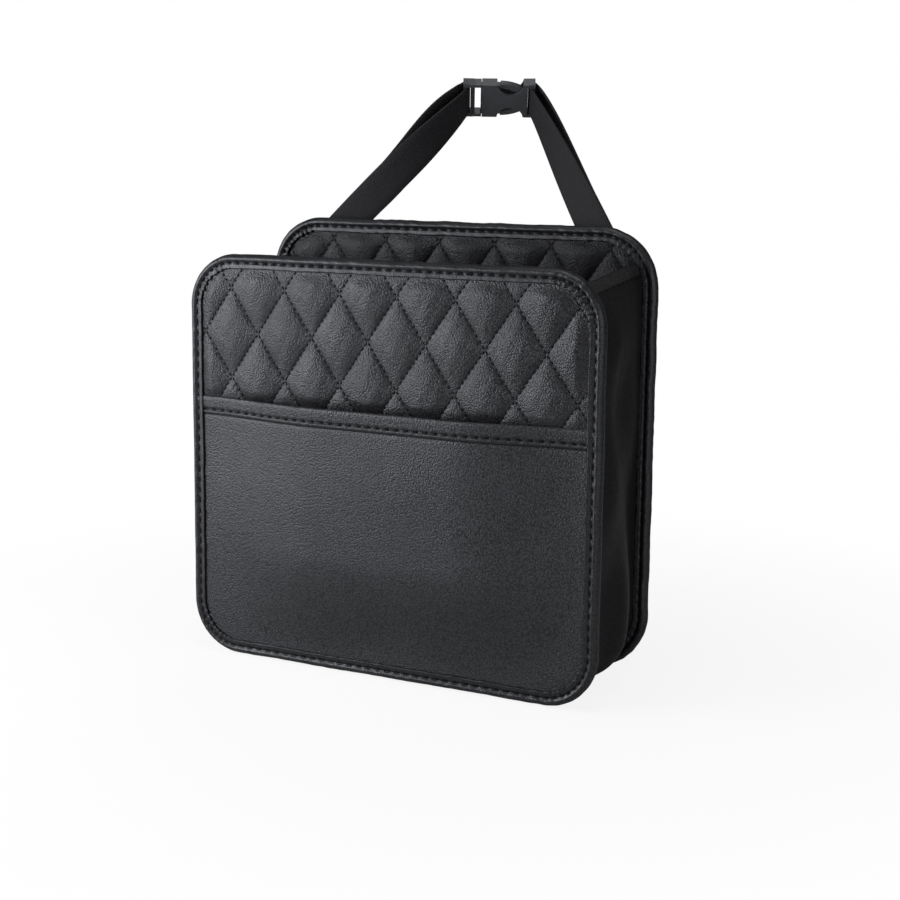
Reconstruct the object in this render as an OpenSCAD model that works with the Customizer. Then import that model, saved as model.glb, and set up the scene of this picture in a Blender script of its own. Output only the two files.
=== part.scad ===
// Back seat organizer: an open box bag that hangs behind a car seat.
// Two stiffened walls, each edged with a folded and stitched binding, are
// joined by one soft gusset that makes both sides and the bottom. The front
// wall carries a flat pocket under its quilted top, and two webbing straps
// sewn to the rear of the back wall meet in a side release buckle.
//
// X runs across the bag, Y from the front wall to the strap, Z up. The origin
// is on the floor, in the middle of the overall width and depth.

/* [Bag] */
// Width of the front wall over its binding
front_w = 255; // [220:1:300]
// Height of the front wall
front_h = 232; // [200:1:244]
// Corner radius of the front wall
front_r = 30; // [22:1:40]
// Width of the back wall over its binding
back_w = 248; // [220:1:300]
// Height of the back wall
back_h = 250; // [240:1:300]
// Corner radius of the back wall
back_r = 33; // [22:1:40]
// Depth of the bag over both walls
bag_d = 87; // [60:1:130]

/* [Sheet materials] */
// Thickness of the leather of the bindings
binding_t = 0.9; // [0.6:0.1:1.4]
// How far a binding laps onto its wall
binding_w = 8; // [6:0.5:12]
// Radius of a binding's outer fold
binding_fold_r = 2.4; // [1.6:0.1:2.6]
// Thickness of the pocket leather
pocket_t = 0.9; // [0.6:0.1:1.4]
// Thickness of the gusset leather
gusset_t = 0.8; // [0.6:0.1:1.2]
// Thickness of the quilted leather along its seams
quilt_t = 1.3; // [1:0.1:2]
// Thickness of the stiffening boards
board_t = 1.2; // [0.8:0.1:2]
// Thickness of the front wall's lining
lining_t = 0.7; // [0.4:0.1:1.2]
// Thickness of the back wall's rear cover
cover_t = 0.9; // [0.6:0.1:1.4]

/* [Quilting] */
// Width of a diamond
diamond_w = 35.5; // [24:0.5:48]
// Height of a diamond
diamond_h = 50.5; // [36:0.5:70]
// How far the padding stands out between the seams
puff_h = 2; // [1:0.1:3]
// Share of the puff that is left under the pocket
pressed_share = 0.4; // [0.2:0.1:1]

/* [Pocket] */
// Height of the pocket mouth
pocket_h = 150.5; // [110:0.5:180]
// Width of the folded hem at the mouth
hem_w = 9; // [6:0.5:12]
// How far the middle of the pocket stands out
pocket_bulge = 8; // [6:0.5:12]
// How far the mouth sags in the middle
mouth_sag = 0.4; // [0:0.1:4]

/* [Gusset] */
// How far the gusset's side walls swell outward
gusset_bulge = 4; // [1:0.5:6]
// Depth of the soft waves along the side walls
gusset_wave = 0.7; // [0:0.1:1.5]
// Angle up the front wall's corner at which the gusset ends
front_end_a = 62; // [45:1:75]
// Angle up the back wall's corner at which the gusset ends
back_end_a = 36; // [30:1:60]

/* [Strap] */
// Width of the webbing
web_w = 20; // [15:0.5:22]
// Thickness of the webbing
web_t = 1.3; // [1:0.1:1.5]
// How far each foot's middle lies in from the side of the back wall
foot_in = 27; // [24:1:54]
// Distance of a sewn foot's upper end below the back wall's top
foot_drop = 24; // [18:1:40]
// Length of webbing that is sewn down
foot_len = 16; // [12:1:24]
// Lean of a foot from upright
foot_a = 33; // [20:1:40]
// Height of the buckle's middle above the back wall's top
strap_rise = 71.5; // [60:0.5:100]
// How far the strap and its buckle reach behind the bag
strap_reach = 69; // [55:1:90]
// Share of a strap's length over which its two layers lie apart
loop_share = 0.6; // [0.4:0.01:0.7]
// How far the left strap's outer layer bows out
left_bow = 6; // [1:0.5:8]
// How far the right strap's outer layer bows out
right_bow = 2; // [1:0.5:8]

/* [Buckle] */
// Overall length of the closed buckle
buckle_l = 42.5; // [42:0.5:52]
// Width of the buckle
buckle_w = 24.4; // [24:0.2:30]
// Thickness of the buckle
buckle_t = 6.4; // [6:0.1:9]
// How much further each end spreads on either side
buckle_flare = 1; // [0:0.1:2]
// Turn of the buckle about the upright
buckle_turn = 27; // [0:1:35]
// Lean of the buckle from upright
buckle_a = 43.5; // [20:0.5:60]
// Wall thickness of the socket
socket_wall = 1.1; // [0.9:0.1:1.5]
// Radius of the finger notches
notch_r = 7.8; // [6:0.1:8.2]
// Depth of the finger notches
notch_d = 7.2; // [4:0.1:7.6]
// Length of the plug's frame that shows outside the socket
frame_l = 11; // [10.6:0.1:13]
// Thickness of the bars that hold the webbing
bar_t = 2.6; // [2.2:0.1:3]
// Width of the bars at the buckle's two ends
bar_w = 2.2; // [2:0.1:2.6]
// Width of the ribbed grip bar
grip_w = 2.6; // [2:0.1:3]
// Play between the plug and the socket
play = 0.3; // [0.2:0.05:0.4]

/* [Hidden] */
ARC_FN = 96;
LEATHER = [0.12, 0.12, 0.13];
PUFFED = [0.16, 0.16, 0.17];
BOARD = [0.45, 0.45, 0.43];
CLOTH = [0.08, 0.08, 0.08];
WEBBING = [0.11, 0.11, 0.12];
PLASTIC = [0.17, 0.18, 0.19];

// Thickness of each wall, from the layers that its binding clamps
front_wall_t = 2 * binding_t + pocket_t + quilt_t + board_t + lining_t + gusset_t;
back_wall_t = 2 * binding_t + gusset_t + quilt_t + board_t + cover_t;

// Depth of each layer, counted from the front of the bag
pocket_stand = max(pocket_bulge - binding_t, 0);
overall_d = pocket_stand + bag_d + strap_reach;
front_y = pocket_stand - overall_d / 2;
rear_y = front_y + bag_d;
pocket_y = front_y + binding_t;
front_quilt_y = pocket_y + pocket_t;
front_board_y = front_quilt_y + quilt_t;
front_lining_y = front_board_y + board_t;
front_flange_y = front_lining_y + lining_t;
back_binding_y = rear_y - back_wall_t;
back_flange_y = back_binding_y + binding_t;
back_quilt_y = back_flange_y + gusset_t;
back_board_y = back_quilt_y + quilt_t;
cover_y = back_board_y + board_t;

// The webbing's feet lie flat on the rear cover
foot_gap = 0.05;
foot_x = back_w / 2 - foot_in;
foot_y = cover_y + cover_t + foot_gap + web_t / 2;

// Layers inside a binding end this far short of its fold
edge_gap = 0.3;
layer_in = binding_t + edge_gap;

// Room along the inner lip of a binding
lip_gap = 0.1;
seam_in = binding_w + lip_gap;
// The gusset's folded ends reach this far in from a wall's outline
hem_in = seam_in + 2 * gusset_t + lip_gap;

// Steps of a quilted sheet in one diamond, across and up
QUILT_STEPS = 6;
// Distance from a binding over which the puffs rise
puff_fade = 9;
// Spacing of grid points that a rounded corner gathers
gather = 0.4;
// Below 1, a puff rises steeply from its seam
puff_power = 0.7;

function smooth(t) = let (u = min(max(t, 0), 1)) u * u * (3 - 2 * u);
function unit(v) = v / norm(v);
function mix(a, b, t) = a + (b - a) * t;

// Distance of a wall's point from the wall's outline
function inside(x, z, w, h, r) =
    let (qx = abs(x) - (w / 2 - r), qz = abs(z - h / 2) - (h / 2 - r))
    r - norm([max(qx, 0), max(qz, 0)]) - min(max(qx, qz), 0);

// Half the width of a wall at one height, for an outline drawn in by e
function half_at(z, w, h, r, e) =
    let (rise = max(r - z, z - (h - r), 0))
    w / 2 - r + sqrt(max(pow(r - e, 2) - rise * rise, 0));

// Flat outline of a wall, drawn in by e
module outline(w, h, r, e) {
    translate([-w / 2 + e, r])
        square([w - 2 * e, h - 2 * r]);
    translate([-w / 2 + r, e])
        square([w - 2 * r, h - 2 * e]);
    for (x = [-w / 2 + r, w / 2 - r], z = [r, h - r])
        translate([x, z])
            circle(r - e, $fn = ARC_FN);
}

// Flat sheet of a wall, from y to y + t
module layer(w, h, r, e, y, t) {
    translate([0, y + t, 0])
        rotate([90, 0, 0])
            linear_extrude(t)
                outline(w, h, r, e);
}

// Closed sheet over a grid of points. front and rear give the y of each face,
// and the rear is one flat face where flat is true. bend tells which way a
// cell is split, so that a seam falls on an edge.
module sheet(grid, front, rear, flat, bend) {
    rows = len(grid);
    cols = len(grid[0]);
    count = rows * cols;
    top = cols + rows - 2;
    rim = concat(
        [for (i = [0:cols - 1]) i],
        [for (j = [1:rows - 1]) j * cols + cols - 1],
        [for (i = [cols - 2:-1:0]) (rows - 1) * cols + i],
        [for (j = [rows - 2:-1:1]) j * cols]
    );
    last = len(rim);
    points = [for (row = grid) for (p = row) p];
    face = [for (p = points) [p.x, front(p), p.y]];
    back = flat ? [for (k = rim) [points[k].x, rear(points[k]), points[k].y]]
                : [for (p = points) [p.x, rear(p), p.y]];
    rim_back = flat ? [for (k = [0:last - 1]) count + k] : [for (k = rim) count + k];
    cells = [for (j = [0:rows - 2], i = [0:cols - 2]) [i, j]];
    front_faces = [for (c = cells)
        let (a = c.y * cols + c.x, b = a + 1, d = a + cols, e = d + 1)
        each bend(c.x, c.y) ? [[a, d, e], [a, e, b]] : [[a, d, b], [b, d, e]]];
    flat_faces = concat(
        [for (i = [0:cols - 1]) [last - 1, i, i + 1]],
        [for (j = [1:rows - 3])
            let (a = last - j, b = cols - 1 + j)
            each [[a, b, b + 1], [a, b + 1, a - 1]]],
        [for (i = [0:cols - 1]) [top + cols, top - 1 + i, top + i]]
    );
    back_faces = flat ? [for (f = flat_faces) [count + f[0], count + f[1], count + f[2]]]
        : [for (f = front_faces) [count + f[2], count + f[1], count + f[0]]];
    sides = [for (k = [0:last - 1])
        let (n = (k + 1) % last)
        each [[rim[k], rim[n], rim_back[n]], [rim[k], rim_back[n], rim_back[k]]]];
    polyhedron(concat(face, back), concat(front_faces, back_faces, sides));
}

// Closed skin through rings of points, all of one length. The two halves of a
// ring are split opposite ways, so that a twisted ribbon keeps its thickness.
module skin(rings) {
    n = len(rings[0]);
    last = (len(rings) - 1) * n;
    sides = [for (k = [0:len(rings) - 2], i = [0:n - 1])
        let (a = k * n + i, b = k * n + (i + 1) % n)
        each i < n / 2 ? [[a, b + n, b], [a, a + n, b + n]] : [[a, a + n, b], [b, a + n, b + n]]];
    caps = [[for (i = [0:n - 1]) i], [for (i = [n - 1:-1:0]) last + i]];
    polyhedron([for (ring = rings) each ring], concat(sides, caps));
}

// Binding: a folded strip around the edge of a wall, clamping its layers

module binding_section(t) {
    difference() {
        union() {
            translate([-binding_w, 0])
                square([binding_w - binding_fold_r, t]);
            translate([-binding_fold_r, binding_fold_r])
                square([binding_fold_r, t - 2 * binding_fold_r]);
            for (y = [binding_fold_r, t - binding_fold_r])
                translate([-binding_fold_r, y])
                    circle(binding_fold_r, $fn = ARC_FN);
        }
        translate([-binding_w - 1, binding_t])
            square([binding_w + 1 - binding_t, t - 2 * binding_t]);
    }
}

module binding(w, h, r, y, t) {
    translate([0, y, 0]) {
        for (side = [0, 1])
            mirror([side, 0, 0]) {
                translate([w / 2, 0, r])
                    linear_extrude(h - 2 * r)
                        binding_section(t);
                for (top = [0, 1])
                    translate([w / 2 - r, 0, top ? h - r : r])
                        rotate([90, 0, 0])
                            mirror([0, 0, 1])
                                rotate([0, 0, top ? 0 : -90])
                                    rotate_extrude(angle = 90, $fn = ARC_FN)
                                        translate([r, 0])
                                            binding_section(t);
            }
        translate([-w / 2 + r, 0, h])
            rotate([0, 90, 0])
                linear_extrude(w - 2 * r)
                    rotate([0, 0, 180])
                        mirror([0, 1])
                            binding_section(t);
        translate([-w / 2 + r, 0, 0])
            rotate([0, 90, 0])
                linear_extrude(w - 2 * r)
                    binding_section(t);
    }
}

module front_binding() {
    color(LEATHER)
        binding(front_w, front_h, front_r, front_y, front_wall_t);
}

module back_binding() {
    color(LEATHER)
        binding(back_w, back_h, back_r, back_binding_y, back_wall_t);
}

// Quilted covers: leather on thin foam, stitched through in diamonds

// A seam crossing lies here, measured from the middle of the front wall
cross_x = -10.7;
cross_z = 187.7;

function seams(x, z) =
    let (u = (x - cross_x) / diamond_w, v = (z - cross_z) / diamond_h)
    abs(sin(180 * (u + v)) * sin(180 * (u - v)));

// First grid steps that fall inside the lip, across and up
function quilt_first(w, lip) = ceil((-w / 2 + lip - cross_x) / (diamond_w / QUILT_STEPS) + gather);
function quilt_low(lip) = ceil((lip - cross_z) / (diamond_h / QUILT_STEPS) + gather);

// Grid of a wall whose steps fall on the seams, gathered in at the corners.
// The padding rises inside a lip, drawn in from the wall's outline.
function quilt_grid(w, h, r, lip) =
    let (
        dx = diamond_w / QUILT_STEPS,
        dz = diamond_h / QUILT_STEPS,
        i0 = quilt_first(w, lip),
        i1 = floor((w / 2 - lip - cross_x) / dx - gather),
        j0 = quilt_low(lip),
        j1 = floor((h - lip - cross_z) / dz - gather),
        heights = [for (j = [j0:j1]) cross_z + j * dz]
    )
    [for (z = concat([layer_in, lip], heights, [h - lip, h - layer_in]))
        let (
            half = half_at(z, w, h, r, layer_in),
            free = min(half_at(z, w, h, r, lip), half - gather)
        )
        concat(
            [[-half, z], [-free, z]],
            [for (i = [i0:i1])
                let (x = cross_x + i * dx)
                [max(min(x, free - gather * (i1 - i + 1)), -free + gather * (i - i0 + 1)), z]],
            [[free, z], [half, z]]
        )];

// Stand of the padding at a point, where no pocket presses on it
function puffed(p, w, h, r, lip) = puff_h * smooth((inside(p.x, p.y, w, h, r) - lip) / puff_fade);

module quilted(w, h, r, lip, y, stand) {
    first = quilt_first(w, lip);
    low = quilt_low(lip);
    sheet(
        quilt_grid(w, h, r, lip),
        function (p) y - stand(p),
        function (p) y + quilt_t,
        true,
        function (i, j) (i + first - (j + low)) % QUILT_STEPS == 0
    );
}

// The padding under the pocket is pressed, and above it fills the binding
function front_stand(p) =
    let (
        full = puffed(p, front_w, front_h, front_r, seam_in),
        pressed = min(full * pressed_share, pocket_bulge * swell(p.x, p.y) / 2),
        free = smooth((p.y - pocket_h - diamond_h / QUILT_STEPS) / hem_w)
    )
    pocket_t * free + mix(pressed, full, free) * pow(seams(p.x, p.y), puff_power);

function back_stand(p) =
    puffed(p, back_w, back_h, back_r, hem_in) * pow(seams(p.x, p.y), puff_power);

module front_quilted_cover() {
    color(PUFFED)
        quilted(front_w, front_h, front_r, seam_in, front_quilt_y, function (p) front_stand(p));
}

module back_quilted_cover() {
    color(PUFFED)
        quilted(back_w, back_h, back_r, hem_in, back_quilt_y, function (p) back_stand(p));
}

// Boards, lining and rear cover: flat sheets clamped by the bindings

module front_board() {
    color(BOARD)
        layer(front_w, front_h, front_r, layer_in, front_board_y, board_t);
}

module front_lining() {
    color(CLOTH)
        layer(front_w, front_h, front_r, layer_in, front_lining_y, lining_t);
}

module back_board() {
    color(BOARD)
        layer(back_w, back_h, back_r, layer_in, back_board_y, board_t);
}

module back_cover() {
    color(CLOTH)
        layer(back_w, back_h, back_r, layer_in, cover_y, cover_t);
}

// Pocket: one leather panel with a folded hem, slack enough to stand open

POCKET_COLS = 24;
POCKET_ROWS = 12;
// Distance from the binding over which the pocket swells
pocket_fade_x = 78;
pocket_fade_z = 60;
// Height of the step where the hem ends
hem_step = 0.6;

pocket_levels = concat(
    [layer_in, (layer_in + seam_in) / 2],
    [for (a = [0:22.5:90]) front_r - (front_r - seam_in) * cos(a)],
    [for (j = [1:POCKET_ROWS]) mix(front_r, pocket_h - hem_w - hem_step, j / POCKET_ROWS)],
    [pocket_h - hem_w, pocket_h]
);

function pocket_grid() =
    [for (z = pocket_levels)
        let (
            half = half_at(z, front_w, front_h, front_r, layer_in),
            free = min(half_at(z, front_w, front_h, front_r, seam_in), half - gather)
        )
        concat(
            [[-half, z]],
            [for (i = [0:POCKET_COLS - 2]) [free * (2 * i / (POCKET_COLS - 2) - 1), z]],
            [[half, z]]
        )];

function swell(x, z) =
    smooth((front_w / 2 - seam_in - abs(x)) / pocket_fade_x)
    * smooth((z - seam_in) / pocket_fade_z);

function pocket_front(p) = pocket_y - pocket_bulge * swell(p.x, p.y);

function sagged(grid) =
    [for (row = grid)
        [for (p = row)
            [p.x, p.y - mouth_sag * swell(p.x, p.y) * smooth((p.y - pocket_h / 2) / (pocket_h / 2))]]];

module front_pocket() {
    color(LEATHER)
        sheet(
            sagged(pocket_grid()),
            function (p) pocket_front(p),
            function (p)
                let (folded = p.y > pocket_h - hem_w - mouth_sag - hem_step / 2 ? 2 : 1)
                pocket_front(p) + pocket_t * mix(1, folded, smooth(swell(p.x, p.y) * 3)),
            false,
            function (i, j) i < POCKET_COLS / 2
        );
}

// Gusset: one soft strip, its edges turned out inside both bindings and its
// two open ends folded in to a hem

SIDE_STEPS = 8;
BOTTOM_STEPS = 6;
CORNER_STEPS = 5;
END_STEPS = 2;
DEPTH_STEPS = 6;
gusset_hem = 9;
hem_edge_a = 1.5;

// Corner angles of the open end, from the hem's edge down to the side wall
function end_angles(a, r) =
    let (hem_a = gusset_hem / (r - seam_in) * 180 / PI)
    concat(
        [a, a - hem_a, a - hem_a - hem_edge_a],
        [for (k = [1:END_STEPS]) (a - hem_a - hem_edge_a) * (1 - k / END_STEPS)]
    );

// Stations from one open end down to the middle of the bottom: the point on
// the outline and the direction that leads inward
function half_run(w, h, r, a) =
    concat(
        [for (b = end_angles(a, r)) [w / 2 - r, h - r, b]],
        [for (k = [1:SIDE_STEPS]) [w / 2 - r, mix(h - r, r, k / SIDE_STEPS), 0]],
        [for (k = [1:CORNER_STEPS]) [w / 2 - r, r, -90 * k / CORNER_STEPS]],
        [for (k = [1:BOTTOM_STEPS / 2]) [(w / 2 - r) * (1 - 2 * k / BOTTOM_STEPS), r, -90]]
    );

function run(w, h, r, a) =
    let (half = half_run(w, h, r, a), n = len(half))
    concat(half, [for (k = [n - 2:-1:0]) [-half[k].x, half[k].y, 180 - half[k].z]]);

function on_run(s, r, inset) =
    let (reach = r - inset)
    [s.x + reach * cos(s.z), s.y + reach * sin(s.z)];

module gusset() {
    y0 = front_flange_y;
    y1 = y0 + gusset_t;
    y2 = back_flange_y;
    y3 = y2 + gusset_t;
    front_run = run(front_w, front_h, front_r, front_end_a);
    back_run = run(back_w, back_h, back_r, back_end_a);
    last = len(front_run) - 1;
    hem_last = 1;
    rings = [for (k = [0:last])
        let (
            folded = min(k, last - k) <= hem_last,
            full = smooth((min(k, last - k) - hem_last) / 3),
            wave = gusset_wave * sin(90 * k),
            bulge = gusset_bulge * full + wave * full,
            t_in = folded ? 2 * gusset_t : gusset_t,
            web = [for (i = [0:DEPTH_STEPS])
                let (t = i / DEPTH_STEPS)
                [mix(y1 + binding_t, y2 - binding_t, t), seam_in - bulge * sin(180 * t)]],
            section = concat(
                [[y0, layer_in], [y0, seam_in + t_in]],
                [for (p = web) [p.x, p.y + t_in]],
                [[y3, seam_in + t_in], [y3, layer_in], [y2, layer_in], [y2, seam_in]],
                [for (i = [len(web) - 1:-1:0]) web[i]],
                [[y1, seam_in], [y1, layer_in]]
            )
        )
        [for (p = section)
            let (
                t = min(max((p.x - y1) / (y2 - y1), 0), 1),
                q = mix(on_run(front_run[k], front_r, p.y), on_run(back_run[k], back_r, p.y), t)
            )
            [q.x, p.x, q.y]]];
    color(LEATHER)
        skin(rings);
}

// Buckle, in its own frame: x along the webbing, y across it, z to the front

end_x = buckle_l / 2;
mouth_x = frame_l - end_x;
half_w = buckle_w / 2;
half_wide = half_w + buckle_flare;
flare_l = 7;
buckle_edge = 0.8;
web_play = 0.2;
slot_h = web_w + 2 * web_play;
cavity_half = half_w - socket_wall;
cavity_t = buckle_t - 2 * socket_wall;

// The webbing turns about the middle of an end bar
turn_gap = 0.4;
turn_x = end_x - bar_w / 2;
turn_r = bar_t / 2 + turn_gap + web_t / 2;
slot_w = turn_r + web_t / 2 + web_play - bar_w / 2;

// Directions of the buckle's own x, y and z
along_buckle = [cos(buckle_turn), sin(buckle_turn), 0];
up_buckle = [sin(buckle_turn) * sin(buckle_a), -cos(buckle_turn) * sin(buckle_a), cos(buckle_a)];
front_buckle = cross(along_buckle, up_buckle);

// The buckle's rearmost corner lies at the strap's full reach
buckle_back = end_x * along_buckle.y - half_wide * up_buckle.y - buckle_t / 2 * front_buckle.y
    - buckle_edge * min(-up_buckle.y, -front_buckle.y);
buckle_y = rear_y + strap_reach - buckle_back;
buckle_z = back_h + strap_rise;

module at_buckle() {
    translate([0, buckle_y, buckle_z])
        rotate([0, 0, buckle_turn])
            rotate([90 + buckle_a, 0, 0])
                children();
}

function from_buckle(p) =
    [0, buckle_y, buckle_z] + p.x * along_buckle + p.y * up_buckle + p.z * front_buckle;

// Plan of the buckle from x0 to x1, spread at both ends
module buckle_plan(x0, x1) {
    intersection() {
        polygon([
            [-end_x, -half_wide], [flare_l - end_x, -half_w], [end_x - flare_l, -half_w],
            [end_x, -half_wide], [end_x, half_wide], [end_x - flare_l, half_w],
            [flare_l - end_x, half_w], [-end_x, half_wide]
        ]);
        translate([x0, -buckle_w])
            square([x1 - x0, 2 * buckle_w]);
    }
}

// Block of the buckle from x0 to x1 with all four long edges broken
module buckle_block(x0, x1, t) {
    a = half_wide;
    b = half_wide - buckle_edge;
    c = t / 2;
    d = t / 2 - buckle_edge;
    intersection() {
        linear_extrude(t, center = true)
            buckle_plan(x0, x1);
        rotate([90, 0, 90])
            linear_extrude(2 * buckle_l, center = true)
                polygon([[-a, -d], [-b, -c], [b, -c], [a, -d], [a, d], [b, c], [-b, c], [-a, d]]);
    }
}

// Bar across the webbing's slot, sunk a little into both rails
module bar(x, w) {
    translate([x, -slot_h / 2 - buckle_edge, -bar_t / 2])
        cube([w, slot_h + 2 * buckle_edge, bar_t]);
}

// Plug: a frame with two webbing bars, two sprung prongs and a guide tongue

base_sink = 0.6;
base_l = 3;
base_x = mouth_x - base_sink;
arm_x = base_x + base_l - 1;
plug_t = buckle_t - 2 * play;
prong_t = cavity_t - 2 * play;
grip_x = bar_w + slot_w - end_x;
rib_pitch = 2;
rib_h = 0.4;
tongue_l = 15;
tongue_w = 3;

// Finger notches, level with the prongs' pads
notch_x = 6.6;
shoulder_x = notch_x - notch_r + 2;
tip_x = notch_x + notch_r - 0.8;
cavity_end_x = notch_x + notch_r + 0.8;

// A prong's arm, and the pad that swells into its notch behind a shoulder
arm_w = 2;
arm_y = cavity_half - play - arm_w;
pad_r = 24;
pad_w = 2.6;
pad_y = half_w - play - pad_r;

module prong() {
    linear_extrude(prong_t, center = true) {
        translate([arm_x, arm_y])
            square([shoulder_x + 1 - arm_x, arm_w]);
        intersection() {
            difference() {
                translate([shoulder_x, pad_y])
                    circle(pad_r, $fn = ARC_FN);
                translate([shoulder_x - pad_w, pad_y])
                    circle(pad_r - pad_w, $fn = ARC_FN);
            }
            translate([shoulder_x, 0])
                square([tip_x - shoulder_x, half_w]);
        }
    }
}

module buckle_plug() {
    color(PLASTIC)
        at_buckle() {
            difference() {
                buckle_block(-end_x, mouth_x - play / 2, plug_t);
                translate([-end_x - 1, -slot_h / 2, -plug_t])
                    cube([buckle_l, slot_h, 2 * plug_t]);
            }
            bar(-end_x, bar_w);
            bar(grip_x, grip_w);
            for (k = [-4:4])
                translate([grip_x + 0.3, (k - 0.25) * rib_pitch, 0])
                    cube([grip_w - 0.6, rib_pitch / 2, bar_t / 2 + rib_h]);
            translate([base_x, play - cavity_half, -prong_t / 2])
                cube([base_l, 2 * (cavity_half - play), prong_t]);
            translate([arm_x, -tongue_w / 2, -prong_t / 4])
                cube([tongue_l, tongue_w, prong_t / 2]);
            prong();
            mirror([0, 1, 0])
                prong();
        }
}

// Socket: a flat shell that takes the prongs, cut out at both finger notches

module buckle_socket() {
    notch_y = half_w - notch_d + notch_r;
    slot_x = end_x - bar_w - slot_w;
    color(PLASTIC)
        at_buckle()
            difference() {
                buckle_block(mouth_x + play / 2, end_x, buckle_t);
                translate([mouth_x - 1, -cavity_half, -cavity_t / 2])
                    cube([cavity_end_x - mouth_x + 1, 2 * cavity_half, cavity_t]);
                for (side = [-1, 1])
                    translate([notch_x, side * notch_y, -buckle_t])
                        cylinder(h = 2 * buckle_t, r = notch_r, $fn = ARC_FN);
                translate([slot_x, -slot_h / 2, -buckle_t])
                    cube([slot_w, slot_h, 2 * buckle_t]);
                for (z = [bar_t / 2, -bar_t / 2 - buckle_t])
                    translate([slot_x, -slot_h / 2, z])
                        cube([bar_w + slot_w + 1, slot_h, buckle_t]);
            }
}

// Straps: webbing sewn to the rear cover, twisted to the buckle, turned about
// its end bar and sewn back on itself. side is -1 on the left and 1 on the right.

STRAP_STEPS = 22;
TURN_STEPS = 8;
// Angle between the webbing and the buckle where they meet
strap_turn_a = 64;
// Pull of the curve at the foot and at the buckle
foot_pull = 14;
buckle_pull = 15;
// Above 1, the twist comes late
twist_power = 1.3;
layer_gap = 0.1;

function foot_dir(side) = [-side * sin(foot_a), 0, cos(foot_a)];
function foot_across(side) = [side * cos(foot_a), 0, sin(foot_a)];
function foot_top(side) = [side * foot_x, foot_y, back_h - foot_drop];
function end_dir(side) =
    -side * cos(strap_turn_a) * along_buckle - sin(strap_turn_a) * front_buckle;
function turn_point(side, a) =
    from_buckle([side * (turn_x - turn_r * cos(a)), 0, turn_r * sin(a)]);

// The four points of a strap's curve, from its foot to its buckle
function pulls(side) =
    let (a = foot_top(side), d = turn_point(side, 90 - strap_turn_a))
    [a, a + foot_pull * foot_dir(side), d - buckle_pull * end_dir(side), d];

function curve(p, t) =
    pow(1 - t, 3) * p[0] + 3 * pow(1 - t, 2) * t * p[1] + 3 * (1 - t) * t * t * p[2]
    + t * t * t * p[3];

function heading(p, t) =
    unit(pow(1 - t, 2) * (p[1] - p[0]) + 2 * (1 - t) * t * (p[2] - p[1]) + t * t * (p[3] - p[2]));

function across(p, t, side) =
    let (
        s = mix(foot_across(side), up_buckle, smooth(pow(t, twist_power))),
        d = heading(p, t)
    )
    unit(s - (s * d) * d);

// Distance of the outer layer from the inner one
function layers_apart(t, bow) =
    let (u = max((t - (1 - loop_share)) / loop_share, 0))
    mix(web_t + layer_gap, 2 * turn_r, smooth(u)) + bow * sin(180 * u);

function outer_point(p, t, side, bow) =
    curve(p, t) + side * layers_apart(t, bow) * cross(heading(p, t), across(p, t, side));

function strap_stations(side, bow) =
    let (p = pulls(side), sewn_step = ceil((1 - loop_share) * STRAP_STEPS))
    concat(
        [[p[0] - foot_len * foot_dir(side), foot_across(side)]],
        [for (k = [0:STRAP_STEPS])
            let (t = k / STRAP_STEPS)
            [curve(p, t), across(p, t, side)]],
        [for (k = [1:TURN_STEPS])
            [turn_point(side, 90 - strap_turn_a - 180 * k / TURN_STEPS), up_buckle]],
        [for (k = [STRAP_STEPS - 1:-1:sewn_step])
            let (t = k / STRAP_STEPS)
            [outer_point(p, t, side, bow), across(p, t, side)]]
    );

module strap(side, bow) {
    stations = strap_stations(side, bow);
    last = len(stations) - 1;
    rings = [for (k = [0:last])
        let (
            along = unit(stations[min(k + 1, last)][0] - stations[max(k - 1, 0)][0]),
            up = unit(cross(along, stations[k][1])),
            a = cross(up, along) * web_w / 2,
            b = up * web_t / 2,
            p = stations[k][0]
        )
        [p - a - b, p + a - b, p + a + b, p - a + b]];
    skin(rings);
}

module strap_left() {
    color(WEBBING)
        strap(-1, left_bow);
}

module strap_right() {
    color(WEBBING)
        strap(1, right_bow);
}

front_binding();
front_pocket();
front_quilted_cover();
front_board();
front_lining();
gusset();
back_quilted_cover();
back_board();
back_cover();
back_binding();
strap_left();
strap_right();
buckle_plug();
buckle_socket();
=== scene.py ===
import math

import bmesh
import bpy
import numpy as np
from mathutils import Matrix, Vector


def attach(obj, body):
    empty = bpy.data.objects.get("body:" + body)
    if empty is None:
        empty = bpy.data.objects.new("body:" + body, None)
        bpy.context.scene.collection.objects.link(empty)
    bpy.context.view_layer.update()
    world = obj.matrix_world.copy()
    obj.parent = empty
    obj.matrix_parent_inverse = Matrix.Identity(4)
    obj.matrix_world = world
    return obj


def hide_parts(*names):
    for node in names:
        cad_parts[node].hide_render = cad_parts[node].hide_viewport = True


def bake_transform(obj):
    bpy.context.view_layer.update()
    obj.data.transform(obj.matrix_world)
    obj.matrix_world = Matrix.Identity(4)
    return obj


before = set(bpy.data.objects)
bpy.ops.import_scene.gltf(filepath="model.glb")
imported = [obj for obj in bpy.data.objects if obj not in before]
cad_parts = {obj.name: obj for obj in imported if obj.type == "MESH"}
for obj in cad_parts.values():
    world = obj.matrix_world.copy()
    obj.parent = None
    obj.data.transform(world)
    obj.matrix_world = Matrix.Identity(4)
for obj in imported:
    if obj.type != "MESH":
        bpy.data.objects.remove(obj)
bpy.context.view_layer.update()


# The studio: a pale floor that runs off to white, a large soft lamp in front of
# the bag on its left, weaker ones on its right, at its sides, over the top and
# behind, and a little even light all round.

bpy.context.scene.view_settings.view_transform = "Standard"

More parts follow.
